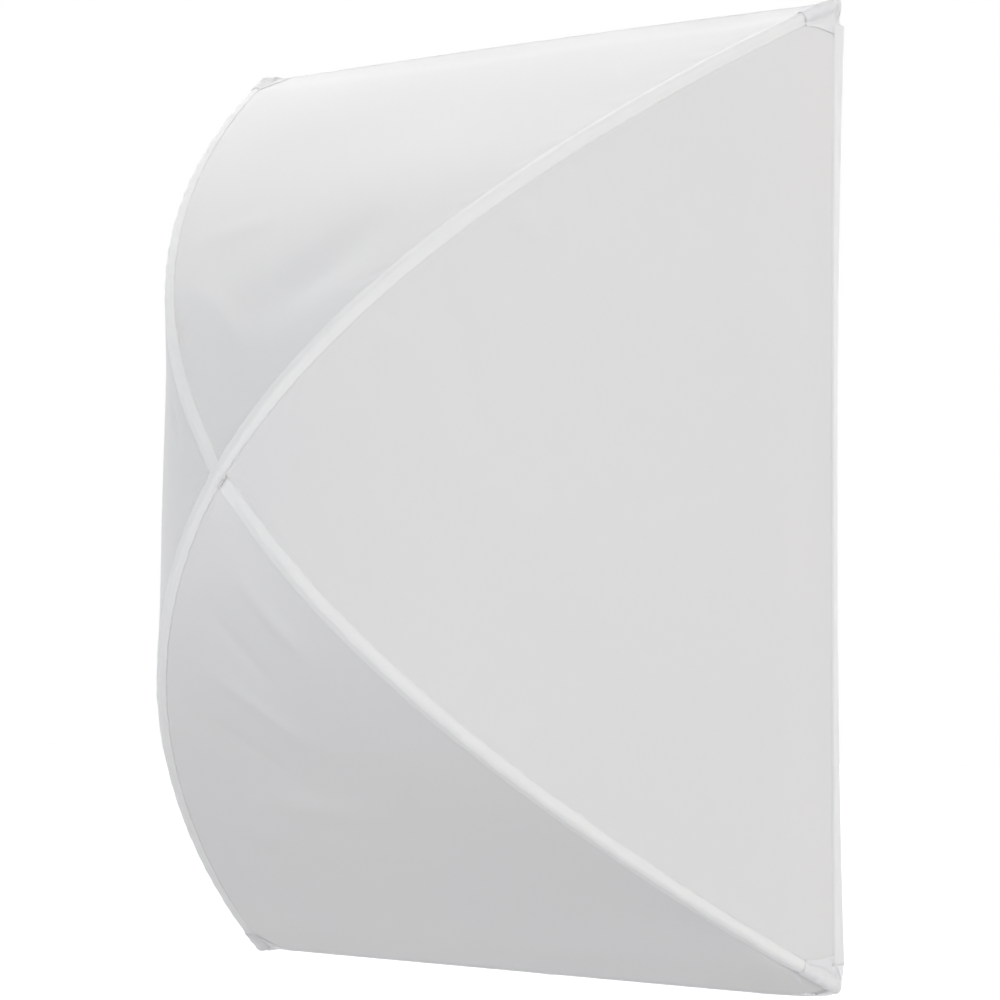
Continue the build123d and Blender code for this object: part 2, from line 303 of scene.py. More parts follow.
def mixed_colour(tree, factor, first, second, shader):
    mix = tree.nodes.new("ShaderNodeMix")
    mix.data_type = "RGBA"
    mix.inputs["A"].default_value = first
    mix.inputs["B"].default_value = second
    tree.links.new(factor, mix.inputs["Factor"])
    tree.links.new(mix.outputs["Result"], shader.inputs["Base Color"])


def math_node(tree, operation, first, second=0.0):
    node = tree.nodes.new("ShaderNodeMath")
    node.operation = operation
    for socket, value in zip(node.inputs, (first, second)):
        if isinstance(value, (int, float)):
            socket.default_value = value
        else:
            tree.links.new(value, socket)
    return node.outputs[0]


def bands(tree, vector, direction, pitch):
    wave = tree.nodes.new("ShaderNodeTexWave")
    wave.bands_direction = direction
    wave.inputs["Scale"].default_value = 0.1 * pi / pitch
    tree.links.new(vector, wave.inputs["Vector"])
    return wave.outputs["Fac"]


def noise(tree, vector, scale, detail=2.0):
    texture = tree.nodes.new("ShaderNodeTexNoise")
    texture.inputs["Scale"].default_value = scale
    texture.inputs["Detail"].default_value = detail
    tree.links.new(vector, texture.inputs["Vector"])
    return texture.outputs["Fac"]


def bump(tree, height, distance, shader, strength=1.0):
    node = tree.nodes.new("ShaderNodeBump")
    node.inputs["Distance"].default_value = distance
    node.inputs["Strength"].default_value = strength
    tree.links.new(height, node.inputs["Height"])
    tree.links.new(node.outputs["Normal"], shader.inputs["Normal"])


def coordinates(tree, kind):
    return tree.nodes.new("ShaderNodeTexCoord").outputs[kind]


def cloth_material(name, light, dark, pitch, relief, cloud_scale=4.0, where="UV", sheen=0.15):
    """Plain-woven cloth: threads both ways, slubs, and slow changes of shade."""
    material, tree, shader = base_material(
        name, 0.62, Sheen_Weight=sheen, Sheen_Roughness=0.5, Specular_IOR_Level=0.25
    )
    place = coordinates(tree, where)
    warp, weft = bands(tree, place, "X", pitch), bands(tree, place, "Y", pitch)
    weave = math_node(tree, "MAXIMUM", warp, weft)
    slubs = noise(tree, place, 0.4 / pitch, 3.0)
    height = math_node(tree, "ADD", weave, slubs)
    bump(tree, height, relief, shader, 0.6)
    clouds = noise(tree, place, cloud_scale, 3.0)
    mixed_colour(tree, clouds, light, dark, shader)
    return material


def ribbed_material_with_groove_shade(name, light, dark, pitch, relief):
    """Webbing or tape with ribs across its length, and painted shade in the grooves between the ribs.
    """
    material, tree, shader = base_material(name, 0.6, Sheen_Weight=0.2, Specular_IOR_Level=0.3)
    place = coordinates(tree, "UV")
    ribs_and_groove_shade = bands(tree, place, "Y", pitch)
    threads = math_node(tree, "MULTIPLY", bands(tree, place, "X", pitch / 2), 0.4)
    bump(tree, math_node(tree, "ADD", ribs_and_groove_shade, threads), relief, shader)
    # The colour follows the ribs, light on their crests and dark in the grooves: painted shade.
    mixed_colour(tree, ribs_and_groove_shade, dark, light, shader)
    return material


def pile_material_with_hollow_shade(name, light, dark):
    """Brushed loops of a loop fastener, mottled, with painted shade in the hollows between the loops.
    """
    material, tree, shader = base_material(name, 0.85, Sheen_Weight=0.5, Specular_IOR_Level=0.15)
    loops = noise(tree, coordinates(tree, "UV"), 1500, 4.0)
    bump(tree, loops, 0.0008, shader)
    # The colour follows the height of the loops, dark in the low parts: painted shade between the
    # loops.
    mixed_colour(tree, loops, dark, light, shader)
    return material


def smooth_material(name, light, dark, roughness, scale, relief, **sockets):
    """A solid with faint streaks, for glass fibre, steel and moulded plastic."""
    material, tree, shader = base_material(name, roughness, **sockets)
    streaks = noise(tree, coordinates(tree, "Object"), scale, 4.0)
    bump(tree, streaks, relief, shader, 0.5)
    mixed_colour(tree, streaks, dark, light, shader)
    return material


panel_cloth = cloth_material(
    "diffusion_nylon", colour(232, 231, 230), colour(228, 228, 229), 0.0006, 0.00005, 3.0
)
sleeve_cloth = cloth_material(
    "sleeve_nylon", colour(244, 244, 243), colour(239, 239, 239), 0.0007, 0.00008, 20.0
)
corner_cloth = cloth_material(
    "corner_cloth", colour(240, 240, 240), colour(232, 232, 235), 0.0009, 0.00012, 25.0
)
rim_cloth = cloth_material(
    "rim_nylon", colour(238, 238, 238), colour(233, 234, 236), 0.0007, 0.00008, 8.0
)
# Each second, darker colour is painted shade for the grooves between the ribs.
binding_tape = ribbed_material_with_groove_shade(
    "binding_tape", colour(236, 236, 235), colour(222, 222, 222), 0.0011, 0.0001
)
webbing = ribbed_material_with_groove_shade(
    "tab_webbing", colour(232, 232, 230), colour(212, 212, 211), 0.0014, 0.00018
)
# The second, darker colour is painted shade in the hollows between the loops.
loop_pile = pile_material_with_hollow_shade("loop_pile", colour(234, 234, 232), colour(208, 208, 208))
thread = cloth_material(
    "sewing_thread", colour(240, 240, 238), colour(228, 228, 226), 0.0004, 0.00005, 60.0
)
elastic_cover = cloth_material(
    "elastic_cover", colour(226, 226, 224), colour(205, 205, 204), 0.0008, 0.0001, 60.0, "Object"
)
fibreglass = smooth_material(
    "fibreglass", colour(226, 224, 212), colour(206, 205, 194), 0.35, 60.0, 0.00003, Coat_Weight=0.2
)
steel = smooth_material(
    "ferrule_steel", colour(196, 198, 202), colour(168, 170, 175), 0.28, 90.0, 0.00002, Metallic=1.0
)
black_plastic = smooth_material(
    "tip_plastic", colour(38, 38, 39), colour(26, 26, 27), 0.45, 400.0, 0.00004
)


def finish_frame_nodes():
    """Finishes for what the cloth hides: poles, ferrules, tips, shock cords and the elastic."""
    for name, node in nodes.items():
        if "pole_section" in name:
            material = fibreglass
        elif name.endswith("ferrules"):
            material = steel
        elif name.endswith("tips"):
            material = black_plastic
        elif name.endswith("shock_cord") or name == "opening_elastic":
            material = elastic_cover
        else:
            continue
        node.data.materials.clear()
        node.data.materials.append(material)


# ---- Poles and seams ------------------------------------------------------------------------

EVEN_POWERS = (0, 2, 4, 6, 8)


def fit_pole(cord_node, corner):
    """How far forward a pole stands at each share of its half span, from the cord inside it."""
    x_side, z_side = CORNERS[corner]
    points = np.array([v.co for v in nodes[cord_node].data.vertices])
    along = points[:, 0] * x_side * half_width + points[:, 2] * z_side * half_height
    share = along / half_diagonal**2
    powers = np.stack([share**power for power in EVEN_POWERS], axis=1)
    return np.linalg.lstsq(powers, points[:, 1], rcond=None)[0]


pole_shape = {}
for corner in CORNERS:
    pole = "upper" if corner in UPPER_POLE else "lower"
    pole_shape[corner] = fit_pole(pole + "_pole_shock_cord", corner)


def pole_at(corner, share):
    """Points on the middle line of a pole, from the crossing, 0, to its tip, 1."""
    x_side, z_side = CORNERS[corner]
    share = np.asarray(share, dtype=float)
    y = sum(factor * share**power for factor, power in zip(pole_shape[corner], EVEN_POWERS))
    return np.stack([x_side * half_width * share, y, z_side * half_height * share], axis=-1)


def pole_along(corner, share):
    step = 0.001
    return unit(pole_at(corner, share + step) - pole_at(corner, share - step))


def share_before_tip(corner, distance):
    """Share of the half span that lies a distance before the tip."""
    tip_step = np.linalg.norm(pole_at(corner, 1.0) - pole_at(corner, 0.999)) / 0.001
    return 1 - distance / tip_step


def hem_direction(corner, panel):
    """Along the hem of a panel, from this corner to the other."""
    first, second = PANELS[panel]
    other = second if corner == first else first
    (x1, z1), (x2, z2) = CORNERS[corner], CORNERS[other]
    return unit(np.array([x2 - x1, 0.0, z2 - z1]))


Seam = namedtuple(
    "Seam", "place along side out right left right_up left_up right_angle left_angle raised"
)


def seam_at(corner, share):
    """Stations along a seam, each with the directions that its two panels leave the pole in."""
    share = np.asarray(share, dtype=float)
    place, along = pole_at(corner, share), pole_along(corner, share)
    directions = []
    for panel in panels_at(corner):
        ruling = np.broadcast_to(hem_direction(corner, panel), along.shape)
        directions.append(unit(ruling - dot(ruling, along) * along))
    first, second = directions
    side = unit(second - first)
    out = unit(np.cross(along, side))
    outward = place - np.array([0, 0.3, 0])
    out = out * np.sign(dot(out, outward))
    right_angle = np.arctan2(dot(second, out), dot(second, side))
    left_angle = np.arctan2(dot(first, out), dot(first, side)) % (2 * pi)
    right_up = np.cos(right_angle + pi / 2) * side + np.sin(right_angle + pi / 2) * out
    left_up = np.cos(left_angle - pi / 2) * side + np.sin(left_angle - pi / 2) * out
    raised = EDGE_RAISE * smooth(1.0, RAISE_FADES, np.abs(share))[:, None]
    if corner not in UPPER_POLE:
        raised = raised + BRIDGE_RAISE * smooth(BRIDGE_REACH, 0, np.abs(share))[:, None]
    angles = right_angle, left_angle
    return Seam(place, along, side, out, second, first, right_up, left_up, *angles, raised)


def stitch_points(seam, stitch):
    """Angles and radius, round the pole, of the two rows of stitches."""
    turn = np.arctan2(seam.raised, stitch)
    return seam.right_angle + turn, seam.left_angle - turn, np.hypot(seam.raised, stitch)


def around(seam, angle, radius):
    """Points round the pole at an angle from the side direction towards the outward one."""
    angle = np.asarray(angle)[..., None]
    radius = np.asarray(radius)[..., None]
    side, out, place = (v[:, None, :] for v in (seam.side, seam.out, seam.place))
    return place + (np.cos(angle) * side + np.sin(angle) * out) * radius


def taut_outer(seam, clear, stitch):
    """Cloth drawn tight over the pole from one row of stitches to the other."""
    right, left, radius = stitch_points(seam, stitch)
    clear = np.minimum(clear, 0.97 * radius)
    lean = np.arccos(clear / radius)
    angle = right + (left - right) * np.linspace(0, 1, ARCH_COLUMNS)
    off_arc = np.maximum(right + lean - angle, angle - left + lean)
    wrapped = clear / np.cos(np.maximum(off_arc, 0))
    off_middle = angle - (left + right) / 2
    return around(seam, angle, bridged(wrapped, clear, radius, left - right, off_middle))


def bridged(wrapped, clear, radius, span, off_middle):
    """Straight across between the rows of stitches where the pole doesn't hold the cloth off."""
    chord = radius * np.cos(span / 2)
    return np.where(chord > clear, chord / np.cos(off_middle), wrapped)


def taut_inner(seam, clear, stitch):
    """The same behind the pole, straight across where the pole doesn't hold it off."""
    right, left, radius = stitch_points(seam, stitch)
    clear = np.minimum(clear, 0.97 * radius)
    lean = np.arccos(clear / radius)
    span = right - left + 2 * pi
    angle = right - span * np.linspace(0, 1, ARCH_COLUMNS)
    middle = right - span / 2
    off_arc = np.abs(angle - middle) - (span / 2 - lean)
    wrapped = clear / np.cos(np.maximum(off_arc, 0))
    return around(seam, angle, bridged(wrapped, clear, radius, span, angle - middle))


def flange(seam, which, distances, lift):
    """Columns of cloth that lie on a panel beside the sleeve, a lift off its middle."""
    direction, up = getattr(seam, which), getattr(seam, which + "_up")
    columns = [seam.place + direction * d + up * (lift + seam.raised) for d in distances]
    return np.stack(columns, axis=1)


def sleeve_strips(seam, clear, edge, stitch=STITCH_LINE, lift=FLANGE_LIFT):
    """The outer and the inner strip of a sleeve, with the panels' edges between them."""
    strips = []
    for arch, side_lift in ((taut_outer, lift), (taut_inner, -lift)):
        flange_right = flange(seam, "right", (edge, (edge + stitch) / 2, stitch), side_lift)
        flange_left = flange(seam, "left", (stitch, (edge + stitch) / 2, edge), side_lift)
        middle = arch(seam, clear, stitch)[:, 1:-1]
        strips.append(np.concatenate([flange_right, middle, flange_left], axis=1))
    return strips


# ---- Stitching ------------------------------------------------------------------------------


def stitch_row(line, lift_directions):
    """Short threads laid end to end along a line of points, lifted a little off the cloth."""
    steps = np.linalg.norm(np.diff(line, axis=0), axis=1)
    total = np.concatenate([[0], np.cumsum(steps)])
    starts = np.arange(STITCH_PITCH / 2, total[-1] - STITCH_LENGTH, STITCH_PITCH)

    def at(distance, values):
        return np.stack([np.interp(distance, total, values[:, i]) for i in range(3)], axis=-1)

    begin, end = at(starts, line), at(starts + STITCH_LENGTH, line)
    up = unit(at(starts + STITCH_LENGTH / 2, lift_directions))
    along = unit(end - begin)
    across = unit(np.cross(along, up))
    rings = []
    for share, girth, height in ((0, 0.35, -0.5), (0.22, 1, 0.6), (0.78, 1, 0.6), (1, 0.35, -0.5)):
        centre = begin + (end - begin) * share + up * THREAD * height
        for angle in (0, pi / 2, pi, 3 * pi / 2):
            reach = across * cos(angle) + up * sin(angle)
            rings.append(centre + reach * THREAD * girth)
    return np.stack(rings, axis=1)


def stitching(name, rows, body="softbox"):
    """All the threads of one row or more as one piece."""
    stitches = np.concatenate([stitch_row(line, up) for line, up in rows])
    points = stitches.reshape(-1, 3)
    one = grid_faces(4, 4, wrap=True) + [(3, 2, 1, 0), (12, 13, 14, 15)]
    faces = [[16 * i + v for v in face] for i in range(len(stitches)) for face in one]
    uv = points[:, [0, 2]]
    return mesh_object(name, points, faces, uv, thread, body, "sleeve_cloth")


# ---- Dome panels ----------------------------------------------------------------------------


def panel_frame(side):
    """Front-view directions of a panel: along its hem, and from the crossing to the hem."""
    first, second = PANELS[side]
    (x1, z1), (x2, z2) = CORNERS[first], CORNERS[second]
    return np.array([(x2 - x1) / 2, 0, (z2 - z1) / 2]), np.array([(x1 + x2) / 2, 0, (z1 + z2) / 2])


def half_hem(side):
    """Half the length of a side of the mouth."""
    return float(abs(panel_frame(side)[0]) @ HALF_SIZES)


def panels_at(corner):
    return [panel for panel in PANELS if corner in PANELS[panel]]


def place_on_hem(side, corner, from_corner):
    """The place along a side, from -1 to 1, that lies a distance before one of its corners."""
    sign = np.sign(float(panel_frame(side)[0] @ pole_at(corner, 1.0)))
    return sign * (1 - from_corner / half_hem(side))


def stitch_edge(corner, panel, share):
    """Where a panel's edge lies between the flanges of a sleeve."""
    seam = seam_at(corner, share)
    ruling = hem_direction(corner, panel)
    nearer_right = (dot(seam.right, ruling) > dot(seam.left, ruling))
    edge = seam.place + np.where(nearer_right, seam.right, seam.left) * STITCH_LINE
    return edge + np.where(nearer_right, seam.right_up, seam.left_up) * seam.raised


def hem_share(corner, panel):
    """The share at which a panel's edge reaches the plane of the hem."""
    shares = np.linspace(0.98, 1.03, 51)
    return np.interp(hem_y, stitch_edge(corner, panel, shares)[:, 1], shares)


def panel_grid(side):
    """The cloth stretched straight between its two seams, before it sags and folds."""
    first, second = PANELS[side]
    half_other = half_width + half_height - half_hem(side)
    meeting = STITCH_LINE * half_other / (half_diagonal * half_hem(side))
    end = (hem_share(first, side) + hem_share(second, side)) / 2
    shares = np.linspace(meeting * PANEL_START, end, PANEL_ROWS)
    even = np.linspace(0, 1, PANEL_COLUMNS)
    columns = 0.45 * even + 0.55 * (1 - np.cos(pi * even)) / 2
    start_edge, end_edge = (stitch_edge(c, side, shares)[:, None, :] for c in (first, second))
    grid = start_edge + (end_edge - start_edge) * columns[None, :, None]
    return grid, shares, columns


def grid_normals(grid, outward_from):
    down = np.gradient(grid, axis=0)
    over = np.gradient(grid, axis=1)
    normals = unit(np.cross(down, over))
    facing = np.sign(dot(normals, grid - outward_from).mean())
    return normals * facing


def fold_height(fold, x, z):
    """A rounded ridge along a line in the front view, dying away at its ends."""
    start_x, start_z, end_x, end_z, half_fold, height = fold
    line = np.array([end_x - start_x, end_z - start_z])
    length = np.linalg.norm(line)
    line = line / length
    ahead = (x - start_x) * line[0] + (z - start_z) * line[1]
    beside = (x - start_x) * line[1] - (z - start_z) * line[0]
    along_fold = np.sin(pi * np.clip(ahead / length, 0, 1)) ** 0.8
    return height * along_fold * np.exp(-((beside / half_fold) ** 2))


def dome_panel(side):
    """One panel: it sags, waves, puckers along its seams, folds, and follows its hem."""
    grid, shares, columns = panel_grid(side)
    normals = grid_normals(grid, np.array(DOME_CENTRE))
    width = np.linalg.norm(grid[:, -1] - grid[:, 0], axis=-1)[:, None]
    from_start, from_end = width * columns, width * (1 - columns)
    from_seam = np.minimum(from_start, from_end)
    u, v = lengths_along(grid, 1), lengths_along(grid, 0)
    seed = 10 * list(PANELS).index(side)

    crown = 4 * columns * (1 - columns)
    height = -PANEL_SAG * crown * smooth(0.1, 0.6, shares)[:, None]
    waves = ripple(seed + 1, u, v, PANEL_WAVELENGTH) * smooth(0, 0.08, from_seam)
    puckers = ripple(seed + 2, v, 0.15 * u, PUCKER_LENGTH) * np.exp(-from_seam / PUCKER_REACH)
    height = height + PANEL_WAVE * waves + PUCKER * puckers * smooth(0, 0.005, from_seam)
    for fold in FOLDS[side]:
        height = height + fold_height(fold, grid[..., 0], grid[..., 2])
    height = height * smooth(0, 0.010, from_seam)
    before_hem = (shares[-1] - shares) * half_diagonal
    height = height * smooth(-0.004, 0.03, before_hem)[:, None]
    grid = grid + normals * height[..., None]
    shift = hem_shift(side, 2 * columns - 1, HEM_FRONT_PULL)
    grid = grid + shift * smooth(HEM_ROLL, 0, 1 - shares)[:, None, None]
    piece = cloth_grids(
        side + "_panel_cloth", [grid], panel_cloth, PANEL_THICKNESS, dome_outward,
        slot="diffusion_cloth",
    )
    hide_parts(side + "_panel")


# ---- Sleeves and crossing -------------------------------------------------------------------


def flange_stitches(seam, distance, lift):
    """A row of stitches on each side of the pole, with the directions they stand up in."""
    sides = ("right", "left")
    return [(flange(seam, w, [distance], lift)[:, 0], getattr(seam, w + "_up")) for w in sides]


def sleeve(corner):
    """Both layers of the sleeve along one seam, with its two rows of stitches."""
    upper = corner in UPPER_POLE
    start = 0.0 if upper else UNDER_SLEEVE / half_diagonal
    end = share_before_tip(corner, POCKET_LENGTH - 0.008)
    shares = np.linspace(start, end, 300)
    seam = seam_at(corner, shares)
    distance = shares[:, None] * half_diagonal * POLE_PER_SPAN
    seed = 50 + list(CORNERS).index(corner)
    across = np.linspace(0, 0.03, ARCH_COLUMNS)
    to_pocket = distance[-1] - distance
    slack = 0.00035 * ripple(seed, distance, across, 0.030)
    slack = slack * smooth(0.02, 0.05, distance) * smooth(0.008, 0.03, to_pocket)
    edge = FLANGE_EDGE + 0.0004 * ripple(seed + 7, distance[:, 0], 0, 0.017)
    clear = SLEEVE_CLEAR + np.maximum(SLEEVE_SLACK + slack, LEAST_SLACK)
    strips = sleeve_strips(seam, clear, edge[:, None])
    if upper:  # it passes over the other pole's sleeve
        over = OVER_CROSSING * smooth(0.024, 0.009, distance)
        strips[0] = strips[0] + seam.out[:, None, :] * over[..., None]
        curl = EDGE_CURL * smooth(CURL_REACH, 0.4 * CURL_REACH, distance)
        for edge_column, inner_column, up in ((0, 1, seam.right_up), (-1, -2, seam.left_up)):
            strips[0][:, edge_column] -= up * curl
            strips[0][:, inner_column] -= up * curl * CURL_INNER_SHARE
    piece = cloth_grids(
        "sleeve_cloth_" + corner, strips, sleeve_cloth, SLEEVE_THICKNESS, dome_outward,
        slot="sleeve_cloth",
    )
    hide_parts("sleeve_" + corner)
    lift = FLANGE_LIFT + SLEEVE_THICKNESS / 2
    stitching("sleeve_stitching_" + corner, flange_stitches(seam, STITCH_LINE + 0.0006, lift))


def crossing_patch(corner):
    """Small keeper of doubled cloth round the upper sleeve where it passes over the lower one."""
    shares = np.linspace(-1, 1, 21) * CROSSING_HALF / half_diagonal
    seam = seam_at(corner, shares)
    edge = np.array([[STITCH_LINE + 0.0012]])
    strip = sleeve_strips(seam, np.full((21, 1), KEEPER_CLEAR), edge, lift=0.0014)[0]
    piece = cloth_grids(
        "crossing_patch_cloth", [strip], sleeve_cloth, 0.0005, dome_outward,
        slot="reinforcement_cloth",
    )
    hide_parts("crossing_patch")


def crossing_backing():
    """Round cloth patch behind the crossing."""
    low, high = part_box("crossing_backing")
    radius, middle_y = (high.x - low.x) / 2 - 0.0005, (low.y + high.y) / 2
    turn = np.linspace(0, 2 * pi, 61)[None, :]
    reach = np.linspace(0.02, 1, 14)[:, None] * radius
    wave = 0.0003 * np.sin(3 * turn + 1) * (reach / radius) ** 2
    grid = np.stack([reach * np.cos(turn), middle_y + wave, reach * np.sin(turn)], axis=-1)
    piece = cloth_grids(
        "crossing_backing_cloth", [grid], sleeve_cloth, 0.0006, lambda point: Vector((0, 1, 0)),
        slot="reinforcement_cloth",
    )
    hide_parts("crossing_backing")
    ring = grid[-3] + np.array([0, 0.0004, 0])
    stitching("backing_stitching", [(ring, np.broadcast_to([0.0, 1.0, 0.0], ring.shape))])


def pocket_sides(seam, corner, run):
    """Directions across the seam that turn into the hem as they near the tip."""
    turned = smooth(0.1, 1.0, run)[:, None]
    sides = []
    for across in (seam.right, seam.left):
        panel = max(panels_at(corner), key=lambda p: float(across[-1] @ hem_direction(corner, p)))
        hem = hem_direction(corner, panel)
        sides.append((panel, unit(across * (1 - turned) + hem * turned)))
    return sides


def pocket_strip(corner, seam, sides, reach, clear, lift, seed):
    """One layer of a pocket: over the pole, and flat beside it as far as reach."""
    outer = lift > 0
    run = np.linspace(0, 1, len(reach))
    stitch = STITCH_LINE + POCKET_SPREAD * smooth(0, 0.6, run)[:, None]
    arch = (taut_outer if outer else taut_inner)(seam, clear, stitch)
    arch_share = np.linspace(0, 1, ARCH_COLUMNS)
    parts = [arch]
    before_hem = np.linspace(1 - share_before_tip(corner, POCKET_LENGTH), 0, len(reach))
    follows_hem = smooth(HEM_ROLL, 0, before_hem)[:, None, None]
    for which, (panel, direction) in zip(("right", "left"), sides):
        slant = dot(direction, seam.along)
        start = stitch / np.sqrt(1 - slant**2)
        from_here = 1 - 2 * arch_share if which == "right" else 2 * arch_share - 1
        weight = np.clip(from_here, 0, 1)[None, :, None]
        arch += seam.along[:, None] * (slant * start)[:, None] * weight
        up = getattr(seam, which + "_up")
        spread = np.linspace(1, 0, FLAP_COLUMNS)[None, :]
        distances = start + (reach[:, None] - start) * spread
        wrinkle = 0.0003 * ripple(seed, distances, 40 * lift + seam.place[:, 2:3], 0.012)
        columns = seam.place[:, None] + direction[:, None] * distances[..., None]
        height = seam.raised + lift + wrinkle * np.sin(pi * spread) * (1 if outer else 0.3)
        columns = columns + up[:, None] * height[..., None]
        half_along = half_hem(panel) - STITCH_LINE
        sign = np.sign(float(panel_frame(panel)[0] @ seam.place[-1]))
        t = sign * np.clip(1 - (distances - start) / half_along, 0, 1)
        columns = columns + hem_shift(panel, t, HEM_FRONT_PULL) * follows_hem
        if which == "right":
            parts.insert(0, columns[:, :-1])
        else:
            parts.append(columns[:, ::-1][:, 1:])
    return np.concatenate(parts, axis=1)


def corner_pocket(corner):
    """Cloth cup over the tip of a pole, whose sides run out along the hem as a reinforcement."""
    run = np.linspace(0, 1, 40)
    seam = seam_at(corner, 1 - (1 - share_before_tip(corner, POCKET_LENGTH)) * (1 - run))
    sides = pocket_sides(seam, corner, run)
    seed = 70 + list(CORNERS).index(corner)
    back = POCKET_LENGTH * (1 - run)[:, None]
    around_pole = np.linspace(0, 0.02, ARCH_COLUMNS)[None, :]
    crumple = 0.0003 + 0.0005 * smooth(0.3, 1.0, run)[:, None]
    clear = POCKET_CLEAR + crumple * ripple(seed, back, around_pole, 0.011)
    clear = np.maximum(clear, POCKET_CLEAR - 0.0005)
    reach = STITCH_LINE + 0.003 + (REINFORCEMENT - STITCH_LINE) * run**1.2
    outer = pocket_strip(corner, seam, sides, reach, clear, POCKET_LIFT, seed + 3)
    inner_reach = np.full(run.shape, STITCH_LINE + POCKET_SPREAD + 0.005)
    inner_clear = np.full((len(run), 1), POCKET_CLEAR)
    inner = pocket_strip(corner, seam, sides, inner_reach, inner_clear, -POCKET_LIFT, seed + 3)
    tip, along = seam.place[-1], seam.along[-1]
    over_pole = slice(FLAP_COLUMNS - 1, FLAP_COLUMNS - 1 + ARCH_COLUMNS)
    caps = []
    for last_row in (outer[-1, over_pole], inner[-1, over_pole]):
        turn = np.linspace(0, pi / 2, 9)[:, None, None]
        ahead = dot(last_row - tip, along)
        flat = last_row - along * ahead
        bulge = along * (ahead * np.cos(turn) + POCKET_BOTTOM * np.sin(turn))
        caps.append(tip + (flat - tip) * np.cos(turn) + bulge)
    walls = corner_gusset(corner, along, outer[-1], sides[0][0])
    piece = cloth_grids(
        "corner_pocket_cloth_" + corner, [outer, inner, *caps, *walls],
        corner_cloth, POCKET_THICKNESS, dome_outward, slot="reinforcement_cloth",
    )
    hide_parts("corner_pocket_" + corner)
    beside_pole = (FLAP_COLUMNS - 2, FLAP_COLUMNS - 1 + ARCH_COLUMNS)
    rows = [(outer[4:, column] + 0.00035 * seam.out[4:], seam.out[4:]) for column in beside_pole]
    stitching("corner_stitching_" + corner, rows)


def along_row(row, start, end, count):
    """Points at even steps along part of a row, between two lengths from its start."""
    total = np.concatenate([[0], np.cumsum(np.linalg.norm(np.diff(row, axis=0), axis=1))])
    lengths = np.linspace(start(total), end(total), count)
    return np.stack([np.interp(lengths, total, row[:, i]) for i in range(3)], axis=-1)


def corner_gusset(corner, along, pocket_edge, first_panel):
    """Small wall from the pocket's edge round the end of the pole, and back to the rim's corner."""
    tip = pole_at(corner, 1.0)
    sides = panels_at(corner)
    start, end = (
        hem_line(side, place_on_hem(side, corner, GUSSET_REACH), HEM_FRONT_PULL, hem_y)
        for side in sides
    )
    row = pocket_edge if first_panel == sides[0] else pocket_edge[::-1]
    middle = len(row) // 2
    distance = np.linalg.norm(row - tip, axis=1)
    edge = along_row(
        row,
        lambda total: np.interp(-GUSSET_REACH, -distance[:middle], total[:middle]),
        lambda total: np.interp(GUSSET_REACH, distance[middle:], total[middle:]),
        GUSSET_COLUMNS,
    )
    share = np.linspace(0, 1, GUSSET_COLUMNS)
    front = bent(start, tip + along * (POCKET_BOTTOM + GUSSET_CLEAR), end, share[:, None])
    turn = np.linspace(0, pi / 2, 9)[:, None, None]
    ahead = dot(front - edge, along) * along
    collar = edge + ahead * np.sin(turn) + (front - edge - ahead) * (1 - np.cos(turn))
    rear = corner_curve(corner, share)
    depth = np.linspace(0, 1, 12)[:, None, None]
    seed = int(60 + tip[0] * 9)
    wave = 0.0005 * ripple(seed, share[None] * 0.03, depth[..., 0] * 0.018, 0.012)
    outwards = unit(np.array([tip[0], 0, tip[2]]))
    bulge = outwards * (wave * np.sin(pi * depth[..., 0]))[..., None]
    return collar, front + (rear - front) * depth + bulge


# ---- Hem, bands and rim ---------------------------------------------------------------------

# How far the elastic draws the middle of each side in; negative where the cloth hangs out.
HEM_FRONT_PULL = {"top": -0.0030, "bottom": -0.0127, "left": 0.0022, "right": 0.0022}
HEM_REAR_PULL = {"top": 0.0030, "bottom": -0.0127, "left": 0.0088, "right": 0.0088}
HEM_ROLL = 0.16  # share of the half span over which a panel follows its hem
HEM_LAP = 0.003  # of an edge band over the panel
HEM_SLOPE = {"top": 1.02, "bottom": 1.02, "left": 0.77, "right": 0.77}  # of the panels, at the hem


def hem_bow(side, t):
    """The shape of that bow from corner to corner, t from -1 to 1. The bottom sags to the right."""
    if side == "bottom":
        return (0.6 + 0.4 * t) * np.sqrt(np.clip(1 - np.abs(t) ** 16, 0, 1))
    return np.clip(1 - t**2, 0, 1) ** 0.9


def hem_shift(side, t, pulls):
    t = np.asarray(t, dtype=float)
    return -panel_frame(side)[1] * (pulls[side] * hem_bow(side, t))[..., None]


def hem_line(side, t, pulls, y):
    """Points along a side of the mouth, t from -1 to 1, drawn in by the elastic."""
    along, across = panel_frame(side)
    t = np.asarray(t, dtype=float)[..., None]
    line = along * t * half_hem(side) + across * float(abs(across) @ HALF_SIZES) + BEHIND * y
    return line + hem_shift(side, t[..., 0], pulls)


